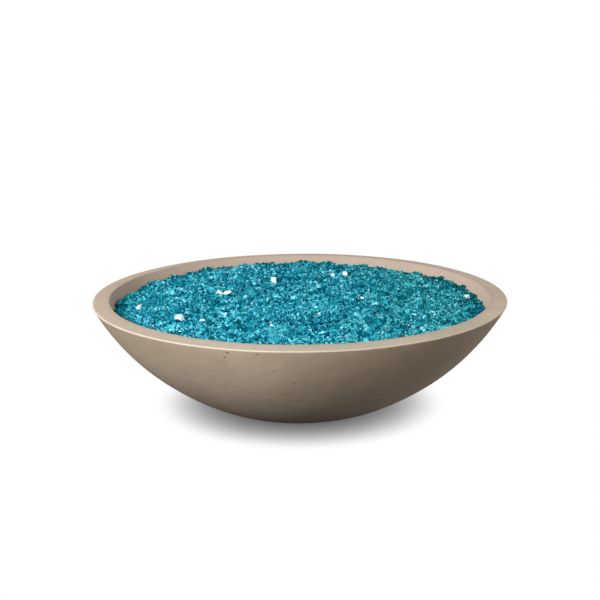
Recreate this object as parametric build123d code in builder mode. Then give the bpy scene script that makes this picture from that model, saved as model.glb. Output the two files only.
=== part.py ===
from build123d import *
from build123d.topology import SkipClean
import os
import random
from math import atan2, degrees, hypot, sqrt

os.makedirs("parts", exist_ok=True)

# A wok-shaped gas fire bowl of cast concrete, filled nearly to its lip with glass chips. Millimetres, +Z up,
# front at -Y, and the origin at the centre of the flat base, on the ground. The burner tray hangs on a ledge
# inside the bowl, and the whole gas run hangs from the tray.

# Bowl
outside_diameter = 805  # over the lip's outer corner, before its rounding takes 5 off
bowl_height = 216
base_diameter = 283
lip_width = 32.5  # to the same corner
lip_outer_rounding = 3.5
lip_inner_rounding = 2
floor_thickness = 30
base_rounding = 3
gas_hole_diameter = 76
gas_hole_chamfer = 3
ledge_drop = 50  # from the lip down to the ledge
ledge_width = 25
ledge_rounding = 3

# Burner tray
tray_sheet = 1.5
tray_bend = 5
tray_rim_gap = 2  # flange's edge to the bowl
tray_wall_gap = 4  # tray's mouth to the ledge
tray_floor_gap = 14  # tray floor's corner to the bowl
drain_diameter = 8
drain_circle_diameter = 330
drain_count = 12
pipe_hole_gap = 0.5

# Gas pipe, nominal half inch, and its fittings
pipe_diameter = 21.3
pipe_bore = 15.8
thread_length = 12
thread_clearance = 0.1  # on the radius, wherever one piece screws or presses into another
washer_diameter = 38
washer_thickness = 1.2
locknut_across_flats = 32
locknut_thickness = 6
run_drop = 46  # from the tray's underside to the centre line of the level gas run
run_wall_gap = 15.25  # from the run's centre line down to where the bowl is just as wide as the run's far end
elbow_reach = 26
elbow_bend = 13
elbow_body_diameter = 24
elbow_collar_diameter = 32
elbow_collar_length = 13
street_reach = 20  # the inlet elbow's short arm, from its corner to the valve's end

# Burner
ring_tube_diameter = 19
ring_tube_wall = 1.5
outer_ring_diameter = 460
inner_ring_diameter = 240
outer_ports_per_quarter = 9
inner_ports_per_quarter = 5
port_diameter = 3
spoke_count = 4
spoke_start_angle = 45
spoke_diameter = 14
spoke_wall = 1.5
spoke_seat = 6  # how far a spoke enters the hub
hub_diameter = 46
hub_cap = 4
hub_web = 1  # between the pipe's thread and the spokes
hub_rounding = 3
foot_count = 4
foot_diameter = 8

# Air mixer, its jet and its shutter
mixer_hex_across_flats = 25
mixer_hex_length = 9
mixer_barrel_diameter = 24
mixer_barrel_length = 56
mixer_collar_diameter = 30
mixer_web = 8  # the wall that holds the jet
mixer_web_inset = 4  # how far it starts inside the barrel
mixer_chamfer = 1
window_count = 4
window_length = 14
window_width = 9
window_setback = 16  # from the hexagon to the windows
jet_diameter = 10
jet_bore = 1.6
jet_nose = 12  # how far the jet stands into the barrel
shutter_wall = 2
shutter_running_gap = 0.05
shutter_overlap = 3  # cover past each end of a window
shutter_margin = 1  # sleeve past its screw's boss
screw_boss_diameter = 9
screw_boss_height = 5
screw_diameter = 4
screw_head_diameter = 11
screw_head_height = 6
screw_flute_count = 8
screw_flute_radius = 0.8
screw_tip_gap = 0.3

# Shut-off valve
nipple_gap = 4  # pipe left bare between the mixer and the valve
valve_hex_across_flats = 27
valve_hex_length = 14
valve_barrel_diameter = 33
valve_web = 4
valve_cavity_diameter = 23
valve_end_spigot = 8
valve_chamfer = 1
ball_diameter = 19
ball_bore = 12.5
ball_seat_gap = 0.3
seat_margin = 0.5  # seat's outer face past the ball
seat_length = 4
stem_diameter = 8
stem_running_gap = 0.05
stem_shoulder_diameter = 11
stem_shoulder_height = 1.8
stem_shoulder_gap = 0.3
tang_width = 4
tang_depth = 2
neck_diameter = 19
neck_height = 22  # the heights here are from the valve's centre line
packing_floor = 15
packing_height = 3.5
gland_diameter = 12.6
gland_across_flats = 16
gland_hex_height = 4
lever_gap = 1.3  # packing nut to lever
lever_sheet = 2.5
lever_width = 15
lever_length = 95
lever_eye_diameter = 22
lever_crank_start = 16
lever_crank_run = 9
lever_crank_rise = 6
lever_bend = 3
stem_flats = 5.6
stem_tip_diameter = 6
lever_nut_across_flats = 10
lever_nut_height = 4
stem_tip_length = 5.2
grip_start = 36
grip_width = 19
grip_thickness = 9
grip_rounding = 3.5
grip_cap = 2
stop_radius = 12.5
stop_width = 5
stop_depth = 3
stop_tab_drop = 6
stop_gap = 0.3
stop_height = 25

# Glass fill
glass_clearance = 0.3
glass_edge_drop = 18  # from the lip down to the glass where it meets the wall, at the sides
glass_crown = 5
glass_back_rise = 6  # higher at the back edge, where the chips were pushed up
rubble_pitch = 18
rubble_relief = 3.5
rubble_jitter = 0.28  # share of the pitch
rubble_overhang = 12

# The bowl's two walls are spheres with one centre on the axis, above the lip.
rim_radius = outside_diameter / 2
base_radius = base_diameter / 2
wall_centre = (rim_radius**2 + bowl_height**2 - base_radius**2) / (2 * bowl_height)
outer_curve = hypot(base_radius, wall_centre)
inner_curve = hypot(rim_radius - lip_width, wall_centre - bowl_height)


def wall_radius(curve, z):
    """Distance from the axis to a wall of this spherical radius at height z."""
    return sqrt(curve**2 - (wall_centre - z) ** 2)


def wall_height(curve, radius):
    """Height at which a wall of this spherical radius is this far from the axis."""
    return wall_centre - sqrt(curve**2 - radius**2)


def wall_arc(curve, low, high):
    """Arc of a wall between two heights, in the plane of the bowl's section."""
    middle = (low + high) / 2
    ends = [(wall_radius(curve, z), z) for z in (low, middle, high)]
    return ThreePointArc(*ends)


ledge_height = bowl_height - ledge_drop
ledge_radius = wall_radius(inner_curve, ledge_height) - ledge_width
ledge_foot = wall_height(inner_curve, ledge_radius)
gas_hole_radius = gas_hole_diameter / 2

# The cast shell. Below the ledge the wall is thicker, so the ledge has a straight face down to it.
with BuildPart() as bowl:
    with BuildSketch(Plane.XZ) as section:
        with BuildLine():
            wall_arc(outer_curve, 0, bowl_height)
            Line((rim_radius, bowl_height), (rim_radius - lip_width, bowl_height))
            wall_arc(inner_curve, ledge_height, bowl_height)
            Polyline(
                (wall_radius(inner_curve, ledge_height), ledge_height),
                (ledge_radius, ledge_height),
                (ledge_radius, ledge_foot),
            )
            wall_arc(inner_curve, floor_thickness, ledge_foot)
            Polyline(
                (wall_radius(inner_curve, floor_thickness), floor_thickness),
                (0, floor_thickness),
                (0, 0),
                (base_radius, 0),
            )
        make_face()
        for corner, rounding in (
            ((rim_radius, bowl_height), lip_outer_rounding),
            ((rim_radius - lip_width, bowl_height), lip_inner_rounding),
            ((base_radius, 0), base_rounding),
            ((ledge_radius, ledge_height), ledge_rounding),
        ):
            fillet(section.vertices().sort_by_distance(corner)[0], rounding)
    revolve(axis=Axis.Z)
    with Locations((0, 0, floor_thickness)):
        Hole(gas_hole_radius)
    hole_edges = bowl.edges().filter_by(GeomType.CIRCLE).filter_by(lambda e: e.radius < gas_hole_diameter)
    chamfer(hole_edges, gas_hole_chamfer)
bowl.part.label = "bowl"
export_step(bowl.part, "parts/bowl.step")

# The level gas run leaves the bowl's axis along +X, and each piece starts where the one before it lets it. The
# run lies as low as its far end lets it inside the bowl's wall, and the tray's floor lies above it.
mixer_start = elbow_reach - thread_length
barrel_start = elbow_reach + mixer_hex_length
barrel_end = barrel_start + mixer_barrel_length
mixer_end = barrel_end - mixer_web_inset + mixer_web + thread_length
socket_floor = mixer_end - thread_length
valve_start = mixer_end + nipple_gap
ball_radius = ball_diameter / 2
seat_face = ball_radius + seat_margin
valve_middle = valve_start + thread_length + valve_web + seat_face
body_end = valve_middle + seat_face + valve_end_spigot
valve_end_face = body_end + valve_web + thread_length
inlet_corner = valve_end_face + street_reach
run_reach = hypot(inlet_corner + elbow_collar_diameter / 2, elbow_reach)
run_height = wall_height(inner_curve, run_reach) + run_wall_gap

# Tray: a pressed pan whose flange lies on the ledge. Its wall slopes in, as the bowl does.
tray_floor = run_height + run_drop
tray_floor_top = tray_floor + tray_sheet
tray_rim_radius = wall_radius(inner_curve, ledge_height) - tray_rim_gap
tray_mouth_radius = ledge_radius - tray_wall_gap
tray_floor_radius = wall_radius(inner_curve, tray_floor) - tray_floor_gap
pipe_radius = pipe_diameter / 2
pipe_hole_radius = pipe_radius + pipe_hole_gap

with BuildPart() as burner_tray:
    with BuildSketch(Plane.XZ):
        with BuildLine():
            FilletPolyline(
                (tray_rim_radius, ledge_height),
                (tray_mouth_radius, ledge_height),
                (tray_floor_radius, tray_floor),
                (0, tray_floor),
                radius=tray_bend,
            )
            offset(amount=tray_sheet, side=Side.RIGHT)
        make_face()
    revolve(axis=Axis.Z)
    with Locations((0, 0, tray_floor_top)):
        Hole(pipe_hole_radius)
        with PolarLocations(drain_circle_diameter / 2, drain_count):
            Hole(drain_diameter / 2)
burner_tray.part.label = "burner_tray"
export_step(burner_tray.part, "parts/burner_tray.step")

# Washers and locknuts clamp the tray floor between them, on the pipe that feeds the burner.
washer_levels = (tray_floor_top, tray_floor - washer_thickness)
locknut_levels = (
    tray_floor_top + washer_thickness,
    tray_floor - washer_thickness - locknut_thickness,
)

with BuildPart() as tray_washers:
    for level in washer_levels:
        with BuildSketch(Plane.XY.offset(level)):
            Circle(washer_diameter / 2)
            Circle(pipe_hole_radius, mode=Mode.SUBTRACT)
        extrude(amount=washer_thickness)
tray_washers.part.label = "tray_washers"
export_step(tray_washers.part, "parts/tray_washers.step")

with BuildPart() as tray_locknuts:
    for level in locknut_levels:
        with BuildSketch(Plane.XY.offset(level)):
            RegularPolygon(locknut_across_flats / 2, 6, major_radius=False)
            Circle(pipe_radius + thread_clearance, mode=Mode.SUBTRACT)
        extrude(amount=locknut_thickness)
tray_locknuts.part.label = "tray_locknuts"
export_step(tray_locknuts.part, "parts/tray_locknuts.step")

# Hub: it screws down on the pipe against the upper locknut, and the spokes enter it just above the pipe.
hub_bottom = locknut_levels[0] + locknut_thickness
hub_radius = hub_diameter / 2
spoke_radius = spoke_diameter / 2
ring_tube_radius = ring_tube_diameter / 2
burner_height = hub_bottom + thread_length + hub_web + spoke_radius
hub_top = burner_height + spoke_radius + hub_cap

with BuildPart() as burner_hub:
    with BuildSketch(Plane.XY.offset(hub_bottom)):
        Circle(hub_radius)
    extrude(amount=hub_top - hub_bottom)
    fillet(burner_hub.edges().group_by(Axis.Z)[-1], hub_rounding)
    with BuildSketch(Plane.XY.offset(hub_bottom)):
        Circle(pipe_radius + thread_clearance)
    extrude(amount=thread_length, mode=Mode.SUBTRACT)
    with BuildSketch(Plane.XY.offset(hub_bottom)):
        Circle(pipe_bore / 2)
    extrude(amount=hub_top - hub_cap - hub_bottom, mode=Mode.SUBTRACT)
    with Locations((0, 0, burner_height)):
        with PolarLocations(hub_radius, spoke_count, start_angle=spoke_start_angle):
            Cylinder(
                spoke_radius + thread_clearance,
                2 * spoke_seat,
                rotation=(0, 90, 0),
                mode=Mode.SUBTRACT,
            )
            Cylinder(
                spoke_radius - spoke_wall,
                2 * hub_radius,
                rotation=(0, 90, 0),
                mode=Mode.SUBTRACT,
            )
burner_hub.part.label = "burner_hub"
export_step(burner_hub.part, "parts/burner_hub.step")


def burner_ring(ring_diameter, ports_per_quarter, feeds_through):
    """A ring of tube with ports along its top and a gas hole where each spoke meets it. It is rolled in equal
    lengths, one to each spoke, whose faces stay apart where they are welded."""
    ring_radius = ring_diameter / 2
    gas_hole_align = Align.CENTER if feeds_through else Align.MAX
    arc = 360 / spoke_count
    with BuildPart() as length:
        with BuildSketch(Plane.XZ):
            with Locations((ring_radius, burner_height)):
                Circle(ring_tube_radius)
                Circle(ring_tube_radius - ring_tube_wall, mode=Mode.SUBTRACT)
        revolve(axis=Axis.Z, revolution_arc=arc)
        with BuildSketch(Plane.XY.offset(burner_height)):
            half_pitch = arc / ports_per_quarter / 2
            with PolarLocations(ring_radius, ports_per_quarter, half_pitch, arc):
                Circle(port_diameter / 2)
        extrude(amount=ring_tube_diameter, mode=Mode.SUBTRACT)
        with Locations((0, 0, burner_height)):
            with PolarLocations(ring_radius, 1, start_angle=arc / 2):
                Cylinder(
                    spoke_radius - spoke_wall,
                    2 * ring_tube_diameter,
                    rotation=(0, 90, 0),
                    align=(Align.CENTER, Align.CENTER, gas_hole_align),
                    mode=Mode.SUBTRACT,
                )
    with BuildPart() as ring:
        with SkipClean():
            with PolarLocations(0, spoke_count, start_angle=spoke_start_angle - arc / 2):
                add(length.part, clean=False)
    return ring


burner_ring_inner = burner_ring(inner_ring_diameter, inner_ports_per_quarter, True)
burner_ring_inner.part.label = "burner_ring_inner"
export_step(burner_ring_inner.part, "parts/burner_ring_inner.step")

burner_ring_outer = burner_ring(outer_ring_diameter, outer_ports_per_quarter, False)
burner_ring_outer.part.label = "burner_ring_outer"
export_step(burner_ring_outer.part, "parts/burner_ring_outer.step")

# Spokes: tubes from inside the hub to the outer ring, coped where they meet each ring.
spoke_start = hub_radius - spoke_seat
spoke_end = outer_ring_diameter / 2

with BuildPart() as burner_spokes:
    with Locations((0, 0, burner_height)):
        with PolarLocations(spoke_start, spoke_count, start_angle=spoke_start_angle):
            Cylinder(
                spoke_radius,
                spoke_end - spoke_start,
                rotation=(0, 90, 0),
                align=(Align.CENTER, Align.CENTER, Align.MIN),
            )
            Cylinder(
                spoke_radius - spoke_wall,
                spoke_end - spoke_start,
                rotation=(0, 90, 0),
                align=(Align.CENTER, Align.CENTER, Align.MIN),
                mode=Mode.SUBTRACT,
            )
        Torus(inner_ring_diameter / 2, ring_tube_radius, mode=Mode.SUBTRACT)
        Torus(outer_ring_diameter / 2, ring_tube_radius, mode=Mode.SUBTRACT)
burner_spokes.part.label = "burner_spokes"
export_step(burner_spokes.part, "parts/burner_spokes.step")

# Feet: pins under the outer ring, between the spokes, saddled to the tube.
foot_start_angle = spoke_start_angle + 180 / spoke_count
foot_height = burner_height - tray_floor_top

with BuildPart() as ring_feet:
    with BuildSketch(Plane.XY.offset(tray_floor_top)):
        with PolarLocations(outer_ring_diameter / 2, foot_count, start_angle=foot_start_angle):
            Circle(foot_diameter / 2)
    extrude(amount=foot_height)
    with Locations((0, 0, burner_height)):
        Torus(outer_ring_diameter / 2, ring_tube_radius, mode=Mode.SUBTRACT)
ring_feet.part.label = "ring_feet"
export_step(ring_feet.part, "parts/ring_feet.step")

# Pipe from the first elbow up through the tray into the hub.
riser_bottom = run_height + elbow_reach - thread_length
riser_top = hub_bottom + thread_length

with BuildPart() as burner_nipple:
    with BuildSketch(Plane.XY.offset(riser_bottom)):
        Circle(pipe_radius)
        Circle(pipe_bore / 2, mode=Mode.SUBTRACT)
    extrude(amount=riser_top - riser_bottom)
burner_nipple.part.label = "burner_nipple"
export_step(burner_nipple.part, "parts/burner_nipple.step")


def elbow(corner, upper_reach, street):
    """A cast elbow with one arm along the corner plane's y axis and a female arm along its x axis. A street
    elbow has a male end on the first arm."""
    upper_face = Plane(origin=corner.origin + corner.y_dir * upper_reach, z_dir=corner.y_dir)
    side_face = Plane(origin=corner.origin + corner.x_dir * elbow_reach, z_dir=corner.x_dir)
    with BuildPart() as fitting:
        with BuildLine(corner) as centreline:
            FilletPolyline((0, upper_reach), (0, 0), (elbow_reach, 0), radius=elbow_bend)
        with BuildSketch(upper_face):
            Circle(elbow_body_diameter / 2)
        sweep()
        with BuildSketch(side_face):
            Circle(elbow_collar_diameter / 2)
        extrude(amount=-elbow_collar_length)
        with BuildSketch(upper_face):
            if street:
                Circle(pipe_radius)
            else:
                Circle(elbow_collar_diameter / 2)
        extrude(amount=thread_length if street else -elbow_collar_length)
        with BuildSketch(upper_face):
            Circle(pipe_bore / 2)
        sweep(path=centreline.wire(), mode=Mode.SUBTRACT)
        with BuildSketch(upper_face):
            Circle(pipe_bore / 2 if street else pipe_radius + thread_clearance)
        extrude(amount=thread_length if street else -thread_length, mode=Mode.SUBTRACT)
        with BuildSketch(side_face):
            Circle(pipe_radius + thread_clearance)
        extrude(amount=-thread_length, mode=Mode.SUBTRACT)
    return fitting


# First elbow, under the middle of the tray: it turns the riser to the level run, which leaves along +X.
gas_elbow = elbow(Plane((0, 0, run_height), x_dir=(1, 0, 0), z_dir=(0, -1, 0)), elbow_reach, False)
gas_elbow.part.label = "gas_elbow"
export_step(gas_elbow.part, "parts/gas_elbow.step")


def across_run(x):
    """The plane square to the level run at this distance from the bowl's axis."""
    return Plane((x, 0, run_height), x_dir=(0, 1, 0), z_dir=(1, 0, 0))


# Mixer: its male end screws into the elbow, and air enters the barrel through windows beside the jet.
barrel_radius = mixer_barrel_diameter / 2
window_middle = barrel_start + window_setback + window_length / 2
web_face = socket_floor - mixer_web

with BuildPart() as air_mixer:
    with BuildSketch(across_run(mixer_start)):
        Circle(pipe_radius)
    extrude(amount=thread_length)
    with BuildSketch(across_run(elbow_reach)):
        RegularPolygon(mixer_hex_across_flats / 2, 6, major_radius=False)
    extrude(amount=mixer_hex_length)
    with BuildSketch(across_run(barrel_start)):
        Circle(barrel_radius)
    extrude(amount=mixer_barrel_length)
    with BuildSketch(across_run(barrel_end)):
        Circle(mixer_collar_diameter / 2)
    extrude(amount=mixer_end - barrel_end)
    chamfer(air_mixer.edges().group_by(Axis.X)[-1], mixer_chamfer)
    with BuildSketch(across_run(mixer_start)):
        Circle(pipe_bore / 2)
    extrude(amount=web_face - mixer_start, mode=Mode.SUBTRACT)
    with BuildSketch(across_run(mixer_start)):
        Circle(jet_diameter / 2 + thread_clearance)
    extrude(amount=mixer_end - mixer_start, mode=Mode.SUBTRACT)
    with BuildSketch(across_run(socket_floor)):
        Circle(pipe_radius + thread_clearance)
    extrude(amount=thread_length, mode=Mode.SUBTRACT)
    with Locations(across_run(window_middle)):
        with PolarLocations(barrel_radius, window_count, start_angle=180 / window_count):
            Box(barrel_radius, window_width, window_length, mode=Mode.SUBTRACT)
air_mixer.part.label = "air_mixer"
export_step(air_mixer.part, "parts/air_mixer.step")

# Jet: a turned spud in the mixer's web. Its nose points down the barrel, beside the windows.
nose_tip = web_face - jet_nose
with BuildPart() as gas_jet:
    with BuildSketch(across_run(socket_floor)):
        Circle(jet_diameter / 2)
    extrude(amount=nose_tip - socket_floor)
    chamfer(gas_jet.edges().group_by(Axis.X)[0], jet_diameter / 4)
    with BuildSketch(across_run(socket_floor)):
        Circle(jet_bore / 2)
    extrude(amount=nose_tip - socket_floor, mode=Mode.SUBTRACT)
gas_jet.part.label = "gas_jet"
export_step(gas_jet.part, "parts/gas_jet.step")

# Shutter: a sleeve that turns on the barrel. Its windows match the barrel's, and its screw boss sits past
# them, so that the screw always bears on whole wall.
shutter_inner = barrel_radius + shutter_running_gap
shutter_outer = shutter_inner + shutter_wall
shutter_start = window_middle - window_length / 2 - shutter_overlap
screw_place = window_middle + window_length / 2 + shutter_overlap + screw_boss_diameter / 2
shutter_end = screw_place + screw_boss_diameter / 2 + shutter_margin
boss_top = shutter_outer + screw_boss_height
screw_radius = screw_diameter / 2


def beside_run(distance):
    """The plane square to the shutter screw, this far in front of the run's centre line."""
    return Plane((screw_place, -distance, run_height), x_dir=(1, 0, 0), z_dir=(0, -1, 0))


with BuildPart() as air_shutter:
    with BuildSketch(across_run(shutter_start)):
        Circle(shutter_outer)
    extrude(amount=shutter_end - shutter_start)
    with BuildSketch(beside_run(0)):
        Circle(screw_boss_diameter / 2)
    extrude(amount=boss_top)
    with BuildSketch(across_run(shutter_start)):
        Circle(shutter_inner)
    extrude(amount=shutter_end - shutter_start, mode=Mode.SUBTRACT)
    with BuildSketch(beside_run(0)):
        Circle(screw_radius + thread_clearance)
    extrude(amount=boss_top, mode=Mode.SUBTRACT)
    with Locations(across_run(window_middle)):
        with PolarLocations(barrel_radius, window_count, start_angle=180 / window_count):
            Box(barrel_radius, window_width, window_length, mode=Mode.SUBTRACT)
air_shutter.part.label = "air_shutter"
export_step(air_shutter.part, "parts/air_shutter.step")

with BuildPart() as shutter_screw:
    with BuildSketch(beside_run(barrel_radius + screw_tip_gap)):
        Circle(screw_radius)
    extrude(amount=boss_top - barrel_radius - screw_tip_gap)
    with BuildSketch(beside_run(boss_top)):
        Circle(screw_head_diameter / 2)
        with PolarLocations(screw_head_diameter / 2, screw_flute_count):
            Circle(screw_flute_radius, mode=Mode.SUBTRACT)
    extrude(amount=screw_head_height)
shutter_screw.part.label = "shutter_screw"
export_step(shutter_screw.part, "parts/shutter_screw.step")

# Short pipe between the mixer and the valve.
with BuildPart() as valve_nipple:
    with BuildSketch(across_run(socket_floor)):
        Circle(pipe_radius)
        Circle(pipe_bore / 2, mode=Mode.SUBTRACT)
    extrude(amount=valve_start + thread_length - socket_floor)
valve_nipple.part.label = "valve_nipple"
export_step(valve_nipple.part, "parts/valve_nipple.step")

# Valve body: a hexagon, a round barrel open at its far end, and a neck on top for the stem and its packing.
stem_radius = stem_diameter / 2
stem_bore_radius = stem_radius + stem_running_gap
shoulder_bottom = ball_radius + thread_clearance
shoulder_top = shoulder_bottom + stem_shoulder_height
gland_radius = gland_diameter / 2


def above_valve(height):
    """The level plane this far above the valve's centre line, its origin on the stem's axis."""
    return Plane((valve_middle, 0, run_height + height), x_dir=(1, 0, 0), z_dir=(0, 0, 1))


# The lever's tab turns a quarter circle between two cast posts, from +Y to -X. Posts and tab are as wide, and
# their inner corners come nearest to each other.
tab_inner = stop_radius - stop_depth / 2
stop_angle = degrees(2 * atan2(stop_width / 2, tab_inner) + stop_gap / tab_inner)

with BuildPart() as valve_body:
    with BuildSketch(across_run(valve_start)):
        RegularPolygon(valve_hex_across_flats / 2, 6, major_radius=False)
    extrude(amount=valve_hex_length)
    with BuildSketch(across_run(valve_start + valve_hex_length)):
        Circle(valve_barrel_diameter / 2)
    extrude(amount=body_end - valve_start - valve_hex_length)
    chamfer(valve_body.edges().group_by(Axis.X)[-1], valve_chamfer)
    with BuildSketch(above_valve(0)):
        Circle(neck_diameter / 2)
    extrude(amount=neck_height)
    with BuildSketch(above_valve(0)):
        for angle in (90 - stop_angle, 180 + stop_angle):
            with PolarLocations(stop_radius, 1, start_angle=angle):
                Rectangle(stop_depth, stop_width)
    extrude(amount=stop_height)
    with BuildSketch(across_run(valve_start)):
        Circle(pipe_radius + thread_clearance)
    extrude(amount=thread_length, mode=Mode.SUBTRACT)
    with BuildSketch(across_run(valve_start)):
        Circle(ball_bore / 2)
    extrude(amount=body_end - valve_start, mode=Mode.SUBTRACT)
    with BuildSketch(across_run(valve_middle - seat_face)):
        Circle(valve_cavity_diameter / 2)
    extrude(amount=body_end - valve_middle + seat_face, mode=Mode.SUBTRACT)
    with BuildSketch(above_valve(0)):
        Circle(stem_shoulder_diameter / 2 + stem_shoulder_gap)
    extrude(amount=shoulder_top + stem_shoulder_gap, mode=Mode.SUBTRACT)
    with BuildSketch(above_valve(0)):
        Circle(stem_bore_radius)
    extrude(amount=neck_height, mode=Mode.SUBTRACT)
    with BuildSketch(above_valve(packing_floor)):
        Circle(gland_radius)
    extrude(amount=neck_height - packing_floor, mode=Mode.SUBTRACT)
valve_body.part.label = "valve_body"
export_step(valve_body.part, "parts/valve_body.step")

# End piece: its spigot screws into the body and holds the seats, and the inlet elbow screws into its hexagon.
with BuildPart() as valve_end:
    with BuildSketch(across_run(valve_middle + seat_face)):
        Circle(valve_cavity_diameter / 2 - thread_clearance)
    extrude(amount=valve_end_spigot)
    with BuildSketch(across_run(body_end)):
        RegularPolygon(valve_hex_across_flats / 2, 6, major_radius=False)
    extrude(amount=valve_end_face - body_end)
    with BuildSketch(across_run(valve_middle)):
        Circle(ball_bore / 2)
    extrude(amount=valve_end_face - valve_middle, mode=Mode.SUBTRACT)
    with BuildSketch(across_run(valve_end_face)):
        Circle(pipe_radius + thread_clearance)
    extrude(amount=-thread_length, mode=Mode.SUBTRACT)
valve_end.part.label = "valve_end"
export_step(valve_end.part, "parts/valve_end.step")

# Seats: two sealing rings, hollowed to the ball.
seat_middle = seat_face - seat_length / 2
seat_wall = (valve_cavity_diameter - ball_bore) / 2 - thread_clearance
valve_section = Plane((valve_middle, 0, run_height), x_dir=(1, 0, 0), z_dir=(0, -1, 0))
with BuildPart() as valve_seats:
    with BuildSketch(valve_section):
        with Locations((-seat_middle, ball_bore / 2), (seat_middle, ball_bore / 2)):
            Rectangle(seat_length, seat_wall, align=(Align.CENTER, Align.MIN))
        Circle(ball_radius + ball_seat_gap, mode=Mode.SUBTRACT)
    revolve(axis=Axis(valve_section.origin, valve_section.x_dir))
valve_seats.part.label = "valve_seats"
export_step(valve_seats.part, "parts/valve_seats.step")

# Ball: closed at rest, so its bore lies across the run and its slot along it.
with BuildPart() as valve_ball:
    with Locations((valve_middle, 0, run_height)):
        Sphere(ball_radius)
        Cylinder(ball_bore / 2, ball_diameter, rotation=(90, 0, 0), mode=Mode.SUBTRACT)
    with BuildSketch(above_valve(ball_radius)):
        Rectangle(ball_diameter, tang_width + 2 * thread_clearance)
    extrude(amount=-tang_depth - thread_clearance, mode=Mode.SUBTRACT)
valve_ball.part.label = "valve_ball"
export_step(valve_ball.part, "parts/valve_ball.step")

# Stem: a tang in the ball's slot, a shoulder that can't blow out, two flats for the lever and a threaded tip.
packing_top = packing_floor + packing_height
lever_level = neck_height + gland_hex_height + lever_gap
lever_top = lever_level + lever_sheet
with BuildPart() as valve_stem:
    with BuildSketch(above_valve(ball_radius - tang_depth)):
        Circle(stem_radius)
        Rectangle(stem_diameter, tang_width, mode=Mode.INTERSECT)
    extrude(amount=shoulder_bottom - ball_radius + tang_depth)
    with BuildSketch(above_valve(shoulder_bottom)):
        Circle(stem_shoulder_diameter / 2)
    extrude(amount=stem_shoulder_height)
    with BuildSketch(above_valve(shoulder_top)):
        Circle(stem_radius)
    extrude(amount=lever_level - shoulder_top)
    with BuildSketch(above_valve(lever_level)):
        Circle(stem_radius)
        Rectangle(stem_flats, stem_diameter, mode=Mode.INTERSECT)
    extrude(amount=lever_sheet)
    with BuildSketch(above_valve(lever_top)):
        Circle(min(stem_tip_diameter, stem_flats) / 2)
    extrude(amount=stem_tip_length)
valve_stem.part.label = "valve_stem"
export_step(valve_stem.part, "parts/valve_stem.step")

with BuildPart() as stem_packing:
    with BuildSketch(above_valve(packing_floor)):
        Circle(gland_radius - thread_clearance)
        Circle(stem_bore_radius, mode=Mode.SUBTRACT)
    extrude(amount=packing_height)
stem_packing.part.label = "stem_packing"
export_step(stem_packing.part, "parts/stem_packing.step")

with BuildPart() as packing_nut:
    with BuildSketch(above_valve(packing_top)):
        Circle(gland_radius - thread_clearance)
    extrude(amount=neck_height - packing_top)
    with BuildSketch(above_valve(neck_height)):
        RegularPolygon(gland_across_flats / 2, 6, major_radius=False)
    extrude(amount=gland_hex_height)
    with BuildSketch(above_valve(packing_top)):
        Circle(stem_bore_radius)
    extrude(amount=neck_height + gland_hex_height - packing_top, mode=Mode.SUBTRACT)
packing_nut.part.label = "packing_nut"
export_step(packing_nut.part, "parts/packing_nut.step")

# Lever: a cranked strip that points forward, across the run, when the valve is closed. A tab turned down
# from the back of its eye meets the stop posts.
eye_radius = lever_eye_diameter / 2
crank_end = lever_crank_start + lever_crank_run
lever_plan = Plane((valve_middle, 0, run_height + lever_level), x_dir=(0, -1, 0), z_dir=(0, 0, 1))
lever_side = Plane((valve_middle, 0, run_height + lever_level), x_dir=(0, -1, 0), z_dir=(-1, 0, 0))

with BuildPart() as valve_lever:
    with BuildSketch(lever_side):
        with BuildLine():
            FilletPolyline(
                (-stop_radius - stop_depth / 2, 0),
                (lever_crank_start, 0),
                (crank_end, lever_crank_rise),
                (lever_length, lever_crank_rise),
                radius=lever_bend,
            )
            offset(amount=lever_sheet, side=Side.LEFT)
        make_face()
    extrude(amount=eye_radius, both=True)
    with BuildSketch(lever_plan):
        Circle(eye_radius)
        with Locations((lever_length / 2, 0)):
            SlotOverall(lever_length + lever_width, lever_width)
        with Locations((-stop_radius, 0)):
            Rectangle(stop_depth + 2 * (eye_radius - tab_inner) + stop_depth, stop_width)
    extrude(amount=lever_crank_rise + lever_sheet, mode=Mode.INTERSECT)
    with BuildSketch(lever_plan):
        with Locations((-stop_radius, 0)):
            Rectangle(stop_depth, stop_width)
    extrude(amount=-stop_tab_drop)
    with BuildSketch(lever_plan):
        Circle(stem_radius + thread_clearance)
        Rectangle(2 * stem_diameter, stem_flats + 2 * thread_clearance, mode=Mode.INTERSECT)
    extrude(amount=lever_sheet, mode=Mode.SUBTRACT)
valve_lever.part.label = "valve_lever"
export_step(valve_lever.part, "parts/valve_lever.step")

# Grip: a dipped sleeve over the lever's far end.
grip_length = lever_length + grip_cap - grip_start
grip_plane = Plane(
    (valve_middle, -grip_start, run_height + lever_level + lever_crank_rise + lever_sheet / 2),
    x_dir=(1, 0, 0),
    z_dir=(0, -1, 0),
)
with BuildPart() as lever_grip:
    with BuildSketch(grip_plane):
        RectangleRounded(grip_width, grip_thickness, grip_rounding)
    extrude(amount=grip_length)
    fillet(lever_grip.edges().group_by(Axis.Y)[0], grip_cap)
    with BuildSketch(grip_plane):
        Rectangle(lever_width + 2 * thread_clearance, lever_sheet + 2 * thread_clearance)
    extrude(amount=lever_length - grip_start + thread_clearance, mode=Mode.SUBTRACT)
lever_grip.part.label = "lever_grip"
export_step(lever_grip.part, "parts/lever_grip.step")

with BuildPart() as lever_nut:
    with BuildSketch(above_valve(lever_top)):
        RegularPolygon(lever_nut_across_flats / 2, 6, major_radius=False)
        Circle(min(stem_tip_diameter, stem_flats) / 2 + thread_clearance, mode=Mode.SUBTRACT)
    extrude(amount=lever_nut_height)
lever_nut.part.label = "lever_nut"
export_step(lever_nut.part, "parts/lever_nut.step")

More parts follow.
